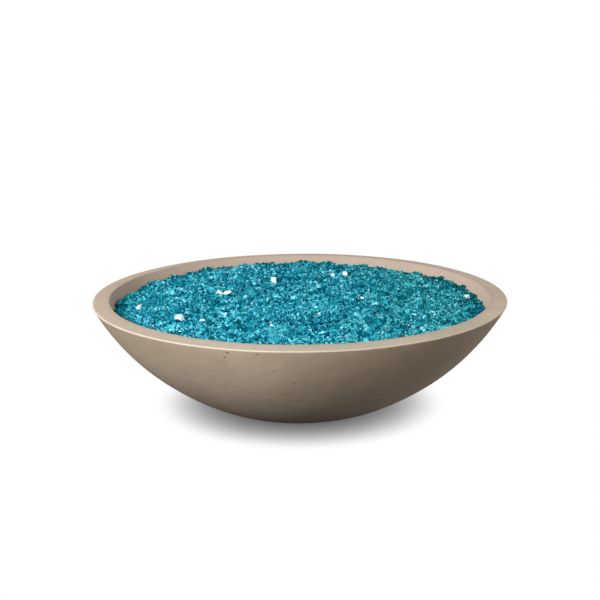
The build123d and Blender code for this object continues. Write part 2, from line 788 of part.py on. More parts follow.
# Inlet elbow: its male end screws into the valve, and the supply pipe screws into its front arm, at -Y.
inlet_elbow = elbow(Plane((inlet_corner, 0, run_height), x_dir=(0, -1, 0), z_dir=(0, 0, -1)), street_reach, True)
inlet_elbow.part.label = "inlet_elbow"
export_step(inlet_elbow.part, "parts/inlet_elbow.step")

# Glass: loose chips modelled as one body. It fills the tray round the burner, covers the flange and rises
# along the bowl to a low crown, a little higher at the back. Its top is a field of lumps with flat facets,
# tilted at random like the chips. No chips lie under the burner's tubes.
glass_edge_height = bowl_height - glass_edge_drop
glass_radius = wall_radius(inner_curve, glass_edge_height)
glass_floor = tray_floor_top + glass_clearance
glass_curve = inner_curve - glass_clearance
flange_top = ledge_height + tray_sheet + glass_clearance
tube_hollow = ring_tube_diameter + 2 * glass_clearance
dice = random.Random(11)


def crown_height(x, y):
    """Height of the heap's smooth top, before the chips tilt it."""
    crown = glass_crown * (1 - (x * x + y * y) / glass_radius**2)
    return glass_edge_height + crown + glass_back_rise * y / glass_radius


def rubble_block(low):
    """A block whose top is the heap's facets and whose flat bottom is at this height."""
    rows = round((glass_radius + rubble_overhang) / rubble_pitch) + 1
    last = 2 * rows
    reach = rows * rubble_pitch
    grid = {}
    for i in range(last + 1):
        for j in range(last + 1):
            inner = 0 < i < last and 0 < j < last
            wander = rubble_jitter * rubble_pitch if inner else 0
            x = -reach + i * rubble_pitch + dice.uniform(-wander, wander)
            y = -reach + j * rubble_pitch + dice.uniform(-wander, wander)
            grid[i, j] = Vector(x, y, crown_height(x, y) + dice.uniform(-rubble_relief, rubble_relief))
    facets = []
    for i in range(last):
        for j in range(last):
            near, right, up, far = grid[i, j], grid[i + 1, j], grid[i, j + 1], grid[i + 1, j + 1]
            if (i + j) % 2:
                facets += [(near, right, up), (right, far, up)]
            else:
                facets += [(near, right, far), (near, far, up)]
    steps = range(last + 1)
    rims = [
        [grid[i, 0] for i in steps],
        [grid[last, j] for j in steps],
        [grid[last - i, last] for i in steps],
        [grid[0, last - j] for j in steps],
    ]
    corners = [Vector(rim[0].X, rim[0].Y, low) for rim in rims]
    for k, rim in enumerate(rims):
        facets.append((*rim, corners[(k + 1) % 4], corners[k]))
    facets.append(tuple(corners))
    return Solid(Shell([Face(Wire.make_polygon(points)) for points in facets]))


with BuildPart() as fire_glass:
    with BuildSketch(Plane.XZ):
        with BuildLine():
            Polyline(
                (wall_radius(glass_curve, flange_top), flange_top),
                (tray_mouth_radius - tray_bend, flange_top),
                (tray_floor_radius - tray_bend, glass_floor),
                (0, glass_floor),
                (0, bowl_height),
                (wall_radius(glass_curve, bowl_height), bowl_height),
            )
            wall_arc(glass_curve, flange_top, bowl_height)
        make_face()
        hub_hollow = 2 * (hub_radius + glass_clearance)
        Rectangle(hub_hollow, 2 * (hub_top + glass_clearance), mode=Mode.SUBTRACT)
        for ring_diameter in (inner_ring_diameter, outer_ring_diameter):
            with Locations((ring_diameter / 2, burner_height)):
                Circle(tube_hollow / 2, mode=Mode.SUBTRACT)
                Rectangle(tube_hollow, foot_height, align=(Align.CENTER, Align.MAX), mode=Mode.SUBTRACT)
    revolve(axis=Axis.Z)
    add(rubble_block(floor_thickness), mode=Mode.INTERSECT)
    with BuildSketch(Plane.XY.offset(glass_floor)):
        with PolarLocations(spoke_end / 2, spoke_count, start_angle=spoke_start_angle):
            Rectangle(spoke_end, 2 * (spoke_radius + glass_clearance))
    extrude(amount=burner_height + spoke_radius + glass_clearance - glass_floor, mode=Mode.SUBTRACT)
fire_glass.part.label = "fire_glass"
export_step(fire_glass.part, "parts/fire_glass.step")
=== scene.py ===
import bpy
import math
import numpy as np
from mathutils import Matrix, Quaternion, Vector, noise
from mathutils.bvhtree import BVHTree


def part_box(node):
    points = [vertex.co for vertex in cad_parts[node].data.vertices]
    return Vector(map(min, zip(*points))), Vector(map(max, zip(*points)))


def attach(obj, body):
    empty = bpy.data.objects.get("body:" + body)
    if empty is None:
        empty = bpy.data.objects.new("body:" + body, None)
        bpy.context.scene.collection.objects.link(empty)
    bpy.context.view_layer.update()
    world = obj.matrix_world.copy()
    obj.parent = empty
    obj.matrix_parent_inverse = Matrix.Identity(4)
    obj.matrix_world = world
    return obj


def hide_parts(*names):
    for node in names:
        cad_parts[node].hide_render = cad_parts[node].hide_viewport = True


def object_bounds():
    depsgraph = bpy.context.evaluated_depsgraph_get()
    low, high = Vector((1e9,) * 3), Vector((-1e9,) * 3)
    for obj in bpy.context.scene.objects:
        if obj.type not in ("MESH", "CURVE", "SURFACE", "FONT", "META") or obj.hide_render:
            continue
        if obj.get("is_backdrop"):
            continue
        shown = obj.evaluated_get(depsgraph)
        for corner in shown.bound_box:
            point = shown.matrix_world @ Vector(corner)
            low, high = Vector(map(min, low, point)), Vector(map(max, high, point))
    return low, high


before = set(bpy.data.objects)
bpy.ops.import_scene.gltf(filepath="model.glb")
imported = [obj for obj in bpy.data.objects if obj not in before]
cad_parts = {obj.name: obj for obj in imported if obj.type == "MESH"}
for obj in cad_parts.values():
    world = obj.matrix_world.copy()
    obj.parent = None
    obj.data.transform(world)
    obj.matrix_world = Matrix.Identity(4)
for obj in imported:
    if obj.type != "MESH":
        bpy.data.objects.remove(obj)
cad_low, cad_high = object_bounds()

# Camera: a few steps back from the bowl, looking down across its lip with a long lens. It is turned by a third
# of a degree, as the photograph is.
lip_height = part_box("bowl")[1].z
camera_distance, camera_climb, camera_roll = 2.4, math.radians(13.48), math.radians(-0.34)
aim = Vector((0.0008, 0, lip_height - 0.0109))
camera = bpy.data.objects.new("camera", bpy.data.cameras.new("camera"))
camera.data.lens = 73.45
back, rise = camera_distance * math.cos(camera_climb), camera_distance * math.sin(camera_climb)
camera.location = (0, -back, lip_height + rise)
look = (aim - camera.location).to_track_quat("-Z", "Y")
camera.rotation_mode = "QUATERNION"
camera.rotation_quaternion = look @ Quaternion((0, 0, 1), camera_roll)
bpy.context.scene.collection.objects.link(camera)
bpy.context.scene.camera = camera
bpy.context.scene.view_settings.view_transform = "Standard"


class Value:
    """A number, colour or vector on its way through a finish. Sums with it add Math nodes."""

    def __init__(self, finish, node, output):
        self.finish, self.made, self.socket = finish, node, node.outputs[output]

    def to(self, place):
        """Distance from here to a place on the piece."""
        sockets = {0: self, 1: place}
        return self.finish.node("ShaderNodeVectorMath", {"operation": "DISTANCE"}, sockets, "Value")

    def also(self, output):
        """Another output of the same node."""
        return Value(self.finish, self.made, output)

    def sum(self, operation, *values):
        return self.finish.node("ShaderNodeMath", {"operation": operation}, dict(enumerate(values)))

    def __add__(self, other):
        return self.sum("ADD", self, other)

    def __sub__(self, other):
        return self.sum("SUBTRACT", self, other)

    def __rsub__(self, other):
        return self.sum("SUBTRACT", other, self)

    def __mul__(self, other):
        return self.sum("MULTIPLY", self, other)

    def __pow__(self, other):
        return self.sum("POWER", self, other)

    __radd__, __rmul__ = __add__, __mul__

    def between(self, low, high):
        """0 up to low, 1 from high, and smooth in between."""
        sockets = {"Value": self, "From Min": low, "From Max": high}
        return self.finish.node("ShaderNodeMapRange", {"interpolation_type": "SMOOTHSTEP"}, sockets)

    def most(self, other):
        """The larger of the two."""
        return self.sum("MAXIMUM", self, other)


class Finish:
    """The node tree of a material or of the world."""

    def __init__(self, name, owner=None):
        self.owner = owner or bpy.data.materials.new(name)
        self.owner.use_nodes = True
        self.tree = self.owner.node_tree
        self.tree.nodes.clear()

    def node(self, kind, settings=None, sockets=None, output=0):
        """A new node: its type, its settings, what its sockets get, and the output that is used."""
        made = self.tree.nodes.new(kind)
        for name, value in (settings or {}).items():
            if name == "stops":
                ramp = made.color_ramp
                while len(ramp.elements) < len(value):
                    ramp.elements.new(0)
                for element, (place, colour) in zip(ramp.elements, value):
                    element.position, element.color = place, (*colour, 1)
            else:
                setattr(made, name, value)
        for name, value in (sockets or {}).items():
            if isinstance(value, Value):
                self.tree.links.new(value.socket, made.inputs[name])
            else:
                made.inputs[name].default_value = value
        return Value(self, made, output) if made.outputs else made

    def place(self, stretch=(1, 1, 1)):
        """The point on the piece, in metres in its rest place."""
        point = self.node("ShaderNodeTexCoord", output="Object")
        return self.node("ShaderNodeVectorMath", {"operation": "MULTIPLY"}, {0: point, 1: stretch})

    def axis(self, name):
        """One coordinate of the point on the piece."""
        return self.node("ShaderNodeSeparateXYZ", None, {0: self.place()}, name)

    def noise(self, size, detail, harshness, stretch=(1, 1, 1)):
        """Cloudy variation from 0 to 1 whose patches are about this large, in metres."""
        sockets = {"Vector": self.place(stretch), "W": 0, "Scale": 1 / size}
        sockets.update({"Detail": detail, "Roughness": harshness})
        return self.node("ShaderNodeTexNoise", {"noise_dimensions": "4D"}, sockets)

    def cells(self, size):
        """Distance to the middle of the nearest cell, for cells about this large, in metres."""
        sockets = {"Vector": self.place(), "Scale": 1 / size}
        return self.node("ShaderNodeTexVoronoi", None, sockets, "Distance")

    def mix(self, share, first, second, blend="MIX"):
        """This share of the second colour over the first."""
        first, second = [v if isinstance(v, Value) else (*v, 1) for v in (first, second)]
        settings = {"data_type": "RGBA", "blend_type": blend}
        return self.node("ShaderNodeMix", settings, {0: share, 6: first, 7: second}, 2)

    def blend(self, share, first, second):
        """This share of the second shader over the first."""
        return self.node("ShaderNodeMixShader", None, {0: share, 1: first, 2: second})

    def bump(self, height, depth, under=None):
        """Relief of this depth in metres, where height goes from 0 to 1."""
        sockets = {"Height": height, "Distance": depth, "Strength": 1}
        return self.node("ShaderNodeBump", None, {**sockets, **({"Normal": under} if under else {})})

    def surface(self, shader, kind="Material"):
        """The material or world, once this shader is its surface."""
        self.node(f"ShaderNodeOutput{kind}", None, {"Surface": shader})
        return self.owner

    def solid(self, **sockets):
        """The material, once one principled shader with these sockets is its surface."""
        named = {name.replace("_", " "): value for name, value in sockets.items()}
        return self.surface(self.node("ShaderNodeBsdfPrincipled", None, named))


def white_to(finish):
    """1 for what the camera, a shiny surface or glass sees, and 0 for the light that falls on things."""
    path = finish.node("ShaderNodeLightPath", output="Is Camera Ray")
    return path.most(path.also("Is Glossy Ray")).most(path.also("Is Transmission Ray"))


def paint(material, *nodes):
    """Gives nodes of the frame this material."""
    for name in nodes:
        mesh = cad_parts[name].data
        mesh.materials.clear()
        mesh.materials.append(material)


# Studio: a white sweep, lit by a large soft lamp in front on the left, a weak one on the right, and the room.
# The floor shows white, with the soft shadow that gathers under the bowl.
sky = Finish("sky", bpy.data.worlds.new("sky"))
room_light = sky.node("ShaderNodeBackground", None, {"Color": (1, 0.9, 0.82, 1), "Strength": 0.52})
room_seen = sky.node("ShaderNodeBackground", None, {"Color": (1, 1, 1, 1), "Strength": 1})
bpy.context.scene.world = sky.surface(sky.blend(white_to(sky), room_light, room_seen), "World")


lamp_distance, lamp_aim = 3, Vector((0, 0, 0.1))


def lamp(name, towards, size, energy):
    """A round soft lamp, this way from the bowl."""
    made = bpy.data.objects.new(name, bpy.data.lights.new(name, "AREA"))
    made.data.shape, made.data.size, made.data.energy = "DISK", size, energy
    towards = Vector(towards).normalized()
    made.location = lamp_aim + lamp_distance * towards
    made.rotation_euler = towards.to_track_quat("Z", "Y").to_euler()
    bpy.context.scene.collection.objects.link(made)


lamp("key", (-0.535, -0.723, 0.437), 1.05, 96)
lamp("fill", (0.95, -0.3, 0.12), 1.2, 11)

floor_reach, floor_lit, floor_shade = 12, (0.02, 0.018, 0.016, 1), (0.08, 0.08, 0.08, 1)
floor_mesh = bpy.data.meshes.new("floor")
corners = [(x * floor_reach, y * floor_reach, 0) for x, y in ((-1, -1), (1, -1), (1, 1), (-1, 1))]
floor_mesh.from_pydata(corners, [], [(0, 1, 2, 3)])
floor = bpy.data.objects.new("floor", floor_mesh)
bpy.context.scene.collection.objects.link(floor)
sweep = Finish("sweep")
openness = sweep.node("ShaderNodeAmbientOcclusion", {"samples": 24}, {"Distance": 0.1}, "AO")
shade = sweep.node("ShaderNodeEmission", None, {"Color": floor_shade, "Strength": 1})
white = sweep.node("ShaderNodeEmission", None, {"Strength": 1})
seen = sweep.blend(openness.between(-0.05, 0.56), shade, white)
lit = sweep.node("ShaderNodeBsdfDiffuse", None, {"Color": floor_lit})
floor_mesh.materials.append(sweep.surface(sweep.blend(white_to(sweep), lit, seen)))
floor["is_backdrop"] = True

# Bowl: a hand-laid shell of glass-fibre concrete, cast upside down in a mould and sealed matt. The lip was
# trowelled and falls a little outwards, so that rain runs off it. The arrises are rubbed. The walls are spheres
# about one centre above the bowl, and not quite true.
wall_centre, outer_reach, inner_reach = 0.43667, 0.4592, 0.4308
lip_radius, lip_inner_radius, lip_fall, lip_drop, lip_foot = 0.4025, 0.3695, 0.0032, 0.0004, 0.203
outer_arris, inner_arris, base_easing = 0.0026, 0.0012, 0.003
ledge_radius, ledge_height, ledge_foot, ledge_easing = 0.31016, 0.166, 0.13768, 0.003
floor_height, hole_radius, hole_chamfer = 0.03, 0.038, 0.003
outer_rows, upper_rows, lower_rows, around = 52, 10, 26, 540
large_waves, small_waves = (0.0006, 9), (0.00016, 60)


def wall(reach, heights):
    """Points along a wall of the bowl's section."""
    return [(math.sqrt(reach**2 - (wall_centre - height) ** 2), height) for height in heights]


def eased(corner, before, after, cut):
    """A corner of the section, eased this far from its tip."""
    corner, before, after = [np.array(p) for p in (corner, before, after)]
    start, end = [corner + cut * (p - corner) / np.linalg.norm(p - corner) for p in (before, after)]
    steps = np.linspace(0, 1, 7)
    return [tuple((1 - t) ** 2 * start + 2 * t * (1 - t) * corner + t * t * end) for t in steps]


outer = wall(outer_reach, lip_height * (1 - np.cos(np.linspace(0, math.pi / 2, outer_rows))))
outer[-1] = (lip_radius, lip_height - lip_drop)
lip_edge = (lip_inner_radius, lip_height - lip_drop + lip_fall)
upper = wall(inner_reach, np.linspace(lip_foot, ledge_height, upper_rows))
lower = wall(inner_reach, floor_height + (ledge_foot - floor_height) * np.linspace(1, 0, lower_rows) ** 1.6)
hole = [(hole_radius + hole_chamfer, floor_height), (hole_radius, floor_height - hole_chamfer)]
hole += [(hole_radius, hole_chamfer), (hole_radius + hole_chamfer, 0)]
section = eased(outer[0], hole[-1], outer[1], base_easing) + outer[1:-1]
section += eased(outer[-1], outer[-2], lip_edge, outer_arris)
section += [tuple(np.array(outer[-1]) + t * (np.array(lip_edge) - outer[-1])) for t in (0.25, 0.5, 0.75)]
section += eased(lip_edge, outer[-1], upper[0], inner_arris) + upper
section += eased((ledge_radius, ledge_height), upper[-1], (ledge_radius, ledge_foot), ledge_easing)
section += lower + hole
shell_points, shell_faces = [], []
for i in range(around):
    turn = 2 * math.pi * i / around
    for radius, height in section:
        point = Vector((radius * math.cos(turn), radius * math.sin(turn), height))
        outward = Vector((point.x, point.y, point.z - wall_centre)).normalized()
        waves = sum(tall * noise.noise(point * often) for tall, often in (large_waves, small_waves))
        shell_points.append(point + waves * outward)
count = len(section)
for i in range(around):
    j = (i + 1) % around
    for k in range(count):
        m = (k + 1) % count
        shell_faces.append((i * count + k, j * count + k, j * count + m, i * count + m))
shell_mesh = bpy.data.meshes.new("cast_shell")
shell_mesh.from_pydata(shell_points, [], shell_faces)
shell_mesh.shade_smooth()
shell_mesh.set_sharp_from_angle(angle=math.radians(35))
shell = bpy.data.objects.new("cast_shell", shell_mesh)
bpy.context.scene.collection.objects.link(shell)
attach(shell, "bowl")
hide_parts("bowl")

concrete = Finish("cast_concrete")
point = concrete.place()
x, y, z = [concrete.axis(name) for name in "XYZ"]
radius = (x ** 2 + y ** 2) ** 0.5
reach = (radius ** 2 + (z - wall_centre) ** 2) ** 0.5
drift = concrete.noise(0.16, 4, 0.55)
streaks = concrete.noise(0.012, 4, 0.6, (0.12, 0.12, 1))
mottle = concrete.noise(0.022, 5, 0.6)
grain = concrete.noise(0.0016, 2, 0.6)
stain_and_painted_light = concrete.mix(drift.between(0.35, 0.65), (0.45, 0.37, 0.29), (0.54, 0.45, 0.355))
stain_and_painted_light = concrete.mix(mottle.between(0.3, 0.75) * 0.3, stain_and_painted_light, (0.40, 0.325, 0.255))
stain_and_painted_light = concrete.mix(streaks.between(0.35, 0.8) * 0.25, stain_and_painted_light, (0.60, 0.51, 0.41))
stain_and_painted_light = concrete.mix(grain.between(0.3, 0.7) * 0.22, stain_and_painted_light, (0.62, 0.53, 0.43))
# The outer wall is tinted browner than the lip. Painted shade darkens it near the ground and on the left.
# The lip and the inner wall are painted lighter towards the right, as painted light, and the front of the
# lip, which faces the key lamp more, is painted darker as painted shade. The lip is darker and greyer along
# its inner edge.
outer_wall = reach.between(outer_reach - 0.003, outer_reach - 0.001)
outer_wall = outer_wall * z.between(lip_height - 0.002, lip_height - 0.004)
painted_low_shade = outer_wall * z.between(0.11, -0.02)
painted_left_shade = outer_wall * x.between(-0.1, -0.3)
painted_right_light = (1 - outer_wall) * x.between(-0.3, 0.5)
on_lip = (1 - outer_wall) * radius.between(lip_inner_radius - 0.0095, lip_inner_radius - 0.0005)
painted_lip_front_shade = on_lip * y.between(0.25, -0.3)
painted_lip_foremost_shade = on_lip * y.between(-0.15, -0.35)
lip_inner_edge_dark = radius.between(lip_inner_radius + 0.0135, lip_inner_radius + 0.0015)
lip_inner_edge_dark = lip_inner_edge_dark * z.between(lip_height - 0.002, lip_height)
tints = [(outer_wall, (0.98, 0.945, 0.9)), (painted_low_shade, (0.66, 0.64, 0.62)), (painted_left_shade, (0.86, 0.87, 0.86))]
tints += [(painted_right_light, (1.1, 1.11, 1.13)), (painted_lip_front_shade, (0.93, 0.95, 0.965)), (painted_lip_foremost_shade, (0.92, 0.965, 0.955))]
tints += [(lip_inner_edge_dark, (0.9, 0.93, 0.94))]
for share, tint in tints:
    stain_and_painted_light = concrete.mix(share, stain_and_painted_light, tint, "MULTIPLY")
# Its arris is painted lighter, less on the right: a painted highlight where the key lamp catches it.
painted_arris_highlight = radius.between(lip_radius - 0.005, lip_radius - 0.0025)
painted_arris_highlight = painted_arris_highlight * z.between(lip_height - 0.0035, lip_height - 0.0015)
painted_arris_highlight = painted_arris_highlight * (0.35 + 0.65 * x.between(0.2, -0.1))
stain_and_painted_light = concrete.mix(painted_arris_highlight * (0.1 + 0.8 * mottle), stain_and_painted_light, (0.8, 0.71, 0.6))
# The inner wall is painted browner, to take out the teal light that the glass throws on it.
painted_inner_wall_warmth = reach.between(inner_reach + 0.002, inner_reach) * z.between(0.12, 0.16)
stain_and_painted_light = concrete.mix(painted_inner_wall_warmth * 0.7, stain_and_painted_light, (0.46, 0.358, 0.296))
# Air holes: fine ones all over, and the larger ones with their places and radii.
pits = 1 - concrete.cells(0.034).between(0.012, 0.03)
air_holes = [
    ((-0.1195, -0.3793, 0.207), 0.0022), ((-0.1251, -0.3711, 0.1969), 0.0018),
    ((-0.0709, -0.3917, 0.2078), 0.0015), ((-0.0086, -0.356, 0.1468), 0.0015),
    ((0.111, -0.2749, 0.086), 0.0018), ((-0.0452, -0.3745, 0.1747), 0.0012),
    ((0.3772, 0.0252, 0.2175), 0.0014), ((0.3779, -0.0089, 0.2175), 0.0016),
    ((0.3817, -0.0339, 0.2175), 0.0013), ((0.3739, 0.0427, 0.2175), 0.0011),
    ((0.3904, -0.0264, 0.2165), 0.0011), ((-0.0744, -0.3819, 0.2175), 0.0012),
]
for place, size in air_holes:
    pits = pits.most(point.to(place).between(1.6 * size, 0.7 * size))
# The holes are painted dark, for the shade inside them.
stain_and_painted_light = concrete.mix(pits * 0.55, stain_and_painted_light, (0.15, 0.12, 0.095))
relief = concrete.bump(grain, 0.00025)
relief = concrete.bump(mottle, 0.0008, relief)
relief = concrete.bump(1 - pits, 0.0008, relief)
roughness = 0.72 + 0.12 * grain
skin = concrete.solid(Base_Color=stain_and_painted_light, Roughness=roughness, Specular_IOR_Level=0.2, Normal=relief)
shell_mesh.materials.append(skin)
paint(skin, "bowl")

# Tray, burner and their pipe, and the valve's ball: stainless steel, pressed, rolled, welded or turned. The
# mill's rolling lines run across the sheet, and handling leaves them cloudy.
steel = Finish("stainless_steel")
lines = steel.noise(0.0012, 2, 0.5, (1, 0.04, 1))
clouds = steel.noise(0.05, 4, 0.6)
tone = steel.mix(clouds.between(0.3, 0.7), (0.52, 0.515, 0.50), (0.64, 0.635, 0.62))
roughness = 0.24 + 0.14 * clouds + 0.1 * lines
relief = steel.bump(lines, 0.00006)
stainless = steel.solid(Base_Color=tone, Metallic=1.0, Roughness=roughness, Normal=relief)
paint(stainless, "burner_tray", "tray_washers", "tray_locknuts", "burner_hub", "burner_ring_inner")
paint(stainless, "burner_ring_outer", "burner_spokes", "ring_feet", "burner_nipple")
paint(stainless, "air_shutter", "valve_ball")

# Gas run: brass, cast and turned, and left unpolished. Turning leaves rings round the run, and the metal is
# tarnished in patches.
turned = Finish("turned_brass")
rings = turned.noise(0.0007, 1, 0.5, (1, 0.02, 0.02))
tarnish = turned.noise(0.012, 5, 0.65)
tone = turned.mix(tarnish.between(0.42, 0.7), (0.78, 0.57, 0.24), (0.50, 0.34, 0.15))
roughness = 0.26 + 0.22 * tarnish
relief = turned.bump(rings, 0.00005)
brass = turned.solid(Base_Color=tone, Metallic=1.0, Roughness=roughness, Normal=relief)
paint(brass, "gas_elbow", "air_mixer", "gas_jet", "shutter_screw", "valve_nipple", "valve_body", "valve_end")
paint(brass, "valve_stem", "packing_nut", "inlet_elbow")

# Lever and its nut: steel, stamped and cold-headed, and zinc plated, which leaves a faint bloom. The nut holds
# the lever on the flats of the valve's stem.
plating = Finish("zinc_plate")
bloom = plating.noise(0.008, 4, 0.6)
tone = plating.mix(bloom.between(0.3, 0.7), (0.62, 0.63, 0.63), (0.70, 0.69, 0.64))
relief = plating.bump(bloom, 0.00008)
zinc = plating.solid(Base_Color=tone, Metallic=1.0, Roughness=0.3 + 0.2 * bloom, Normal=relief)
paint(zinc, "valve_lever", "lever_nut")

# Grip: yellow vinyl, dipped. It is put on by dipping the warm lever, and sets as a soft sleeve round it with a
# slightly uneven skin.
dip = Finish("dipped_vinyl")
skin = dip.noise(0.004, 2, 0.5)
tone = dip.mix(skin.between(0.3, 0.7), (0.86, 0.58, 0.035), (0.78, 0.51, 0.03))
paint(dip.solid(Base_Color=tone, Roughness=0.34 + 0.1 * skin, Normal=dip.bump(skin, 0.0002)), "lever_grip")

# Seats and packing: white rings of a slippery plastic, pressed and cut. The seats hold the valve's ball on both
# sides, and the packing lies round its stem, under the packing nut.
seal = Finish("white_seal")
skin = seal.noise(0.003, 2, 0.5)
tone = seal.mix(skin, (0.84, 0.84, 0.82), (0.9, 0.9, 0.88))
paint(seal.solid(Base_Color=tone, Roughness=0.45 + 0.1 * skin), "valve_seats", "stem_packing")

# Fire glass: tempered sheet in aqua, tumbled and broken into lumps of a few millimetres, and poured in loose.
# What lies below the top layer is one body, and the chips lie on it and along its side.
deep = Finish("deep_glass")
# The body is painted dark teal, for the shade deep among the chips.
tone = deep.mix(deep.noise(0.006, 2, 0.5).between(0.35, 0.65), (0.0, 0.06, 0.11), (0.004, 0.2, 0.29))
relief = deep.bump(deep.cells(0.009), 0.004)
paint(deep.solid(Base_Color=tone, Roughness=0.2, Specular_IOR_Level=0.0, Normal=relief), "fire_glass")

dice = np.random.default_rng(23)
middle, down = np.array((0, 0, wall_centre)), Vector((0, 0, -1))
wall_reach = inner_reach - 0.001
# Round humps: where each one is, how tall it is, and how far it reaches.
hollows = [(0.131, 0.324, 0.003, 0.045), (-0.331, 0.114, 0.002, 0.02)]
hollows += [(0.35, 0.02, 0.003, 0.04), (-0.06, 0.345, 0.002, 0.03)]
mounds = [(-0.201, 0.287, 0.0095, 0.013), (-0.264, 0.23, 0.004, 0.018), (0.006, 0.345, 0.0045, 0.022)]
mounds += [(0.256, 0.239, 0.005, 0.013), (-0.303, 0.175, 0.004, 0.012), (-0.35, 0.012, 0.003, 0.015)]


def swell(x, y, humps):
    """Height of these round humps at a place."""
    height = 0
    for hump_x, hump_y, tall, reach in humps:
        height += tall * math.exp(-((x - hump_x) ** 2 + (y - hump_y) ** 2) / reach**2)
    return height


def rising(value, low, high):
    """0 up to low, 1 from high, and straight in between."""
    return min(1, max(0, (value - low) / (high - low)))


def inside(points):
    """The points, kept inside the bowl's wall."""
    reach = np.linalg.norm(points - middle, axis=1)[:, None]
    return middle + (points - middle) * np.minimum(1, wall_reach / reach)


# The bed's top lies above the first of these heights, and above the second once it has settled. It lies lower
# along the back wall, and a little lower still in a few hollows there.
top_foot, settled_foot = 0.185, 0.18
back_drop, back_edge = 0.006, (0.315, 0.34)
bed_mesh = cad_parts["fire_glass"].data.copy()
settled = np.array([v.co for v in bed_mesh.vertices])
for i in np.flatnonzero(settled[:, 2] > top_foot):
    x, y = settled[i, :2]
    edge = rising(math.hypot(x, y), *back_edge) * rising(y, -0.05, 0.05)
    settled[i, 2] -= back_drop * edge + swell(x, y, hollows)
bed_mesh.vertices.foreach_set("co", inside(settled).ravel().astype(np.float32))
bed_mesh.update()
bed = bpy.data.objects.new("settled_bed", bed_mesh)
bpy.context.scene.collection.objects.link(bed)
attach(bed, "tray")
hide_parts("fire_glass")
tree = BVHTree.FromPolygons([v.co for v in bed_mesh.vertices], [p.vertices for p in bed_mesh.polygons])


def lump(sides):
    """A broken lump of sheet about one unit across: two rough faces with broken sides between them."""
    turn = (np.arange(sides) + dice.uniform(-0.28, 0.28, sides)) * 2 * math.pi / sides
    reach = dice.uniform(0.36, 0.56, sides)
    half = dice.uniform(0.24, 0.4)
    points = []
    for level in (-half, half):
        spread = reach * dice.uniform(0.78, 1.08, sides)
        lift = level + dice.uniform(-0.1, 0.1, sides)
        points += list(zip(spread * np.cos(turn), spread * np.sin(turn), lift))
    faces = []
    for i in range(sides):
        j = (i + 1) % sides
        faces += [(i, j, sides + j), (i, sides + j, sides + i)]
    for i in range(1, sides - 1):
        faces += [(0, i + 1, i), (sides, sides + i, sides + i + 1)]
    return np.array(points), np.array(faces)


lumps = [lump(sides) for sides in (4, 4, 5, 5, 5, 6, 6, 4, 5, 5, 6, 5)]


def turns(count):
    """Random turns, as matrices."""
    q = dice.normal(size=(count, 4))
    w, x, y, z = (q / np.linalg.norm(q, axis=1)[:, None]).T
    rows = [
        [1 - 2 * (y * y + z * z), 2 * (x * y - z * w), 2 * (x * z + y * w)],
        [2 * (x * y + z * w), 1 - 2 * (x * x + z * z), 2 * (y * z - x * w)],
        [2 * (x * z - y * w), 2 * (y * z + x * w), 1 - 2 * (x * x + y * y)],
    ]
    return np.array(rows).transpose(2, 0, 1)


def pile(name, shapes, places, sizes, tones, material, contrast=0.27):
    """One piece of many loose lumps, turned at random and kept inside the bowl's wall.

    Each facet has a tone, which departs this much from its lump's, and a chance to glint."""
    places, kinds = np.array(places), dice.integers(0, len(shapes), len(places))
    points, faces, shades, start = [], [], [], 0
    for kind, (shape, sides) in enumerate(shapes):
        chosen = kinds == kind
        count = chosen.sum()
        grown = shape * dice.uniform(0.8, 1.25, (count, 1, 3)) * sizes[chosen, None, None]
        moved = (grown @ turns(count).transpose(0, 2, 1) + places[chosen, None]).reshape(-1, 3)
        points.append(inside(moved))
        faces.append((sides + start + len(shape) * np.arange(count)[:, None, None]).reshape(-1, 3))
        shades.append((tones[chosen, None] + dice.normal(0, contrast, (count, len(sides)))).ravel())
        start += count * len(shape)
    mesh = bpy.data.meshes.new(name)
    mesh.from_pydata(np.concatenate(points), [], np.concatenate(faces))
    shades = np.concatenate(shades).clip(0, 1)
    glints = dice.uniform(0, 1, len(shades))
    for attribute, values in (("tone", shades), ("glint", glints)):
        mesh.attributes.new(attribute, "FLOAT", "FACE").data.foreach_set("value", values.astype(np.float32))
    mesh.materials.append(material)
    piece = bpy.data.objects.new(name, mesh)
    bpy.context.scene.collection.objects.link(piece)
    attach(piece, "tray")


chip = Finish("aqua_glass")
tone = chip.node("ShaderNodeAttribute", {"attribute_name": "tone"}, output="Fac")
glint = chip.node("ShaderNodeAttribute", {"attribute_name": "glint"}, output="Fac")
crackle = chip.noise(0.0022, 2, 0.6)
# The facets' tones run from near black to bright cyan: partly the glass's own aqua, and partly painted light
# that stands for light refracted and reflected inside the chips, and for their sparkles.
stops = [(0, (0.0, 0.045, 0.09)), (0.3, (0.004, 0.165, 0.255)), (0.6, (0.02, 0.34, 0.445))]
stops += [(0.85, (0.07, 0.58, 0.7)), (1, (0.33, 0.77, 0.9))]
tone = tone + 1.8 * (crackle - 0.5)
colour = chip.node("ShaderNodeValToRGB", {"stops": stops}, {"Fac": tone})
# The chips are painted darker and greener along the back wall, as shade where the glass meets it, and they
# are a little greener on the right.
x, y = [chip.axis(name) for name in "XY"]
painted_back_wall_shade = ((x ** 2 + y ** 2) ** 0.5).between(0.335, 0.355) * y.between(-0.1, 0.05)
colour = chip.mix(painted_back_wall_shade * 0.7, colour, (0.8, 0.86, 0.6), "MULTIPLY")
colour = chip.mix(x.between(0, 0.3), colour, (1, 0.94, 0.87), "MULTIPLY")
aqua = chip.solid(
    Base_Color=colour, Roughness=0.12, IOR=1.5, Specular_IOR_Level=0.0,
    Coat_Weight=glint.between(0.95, 0.975) * tone.between(0.45, 0.7), Coat_Roughness=0.05,
)


def top_height(x, y):
    """Height of the bed under a place, or None beside it."""
    hit = tree.ray_cast(Vector((x, y, 1)), down)[0]
    return hit.z if hit and hit.z > settled_foot else None


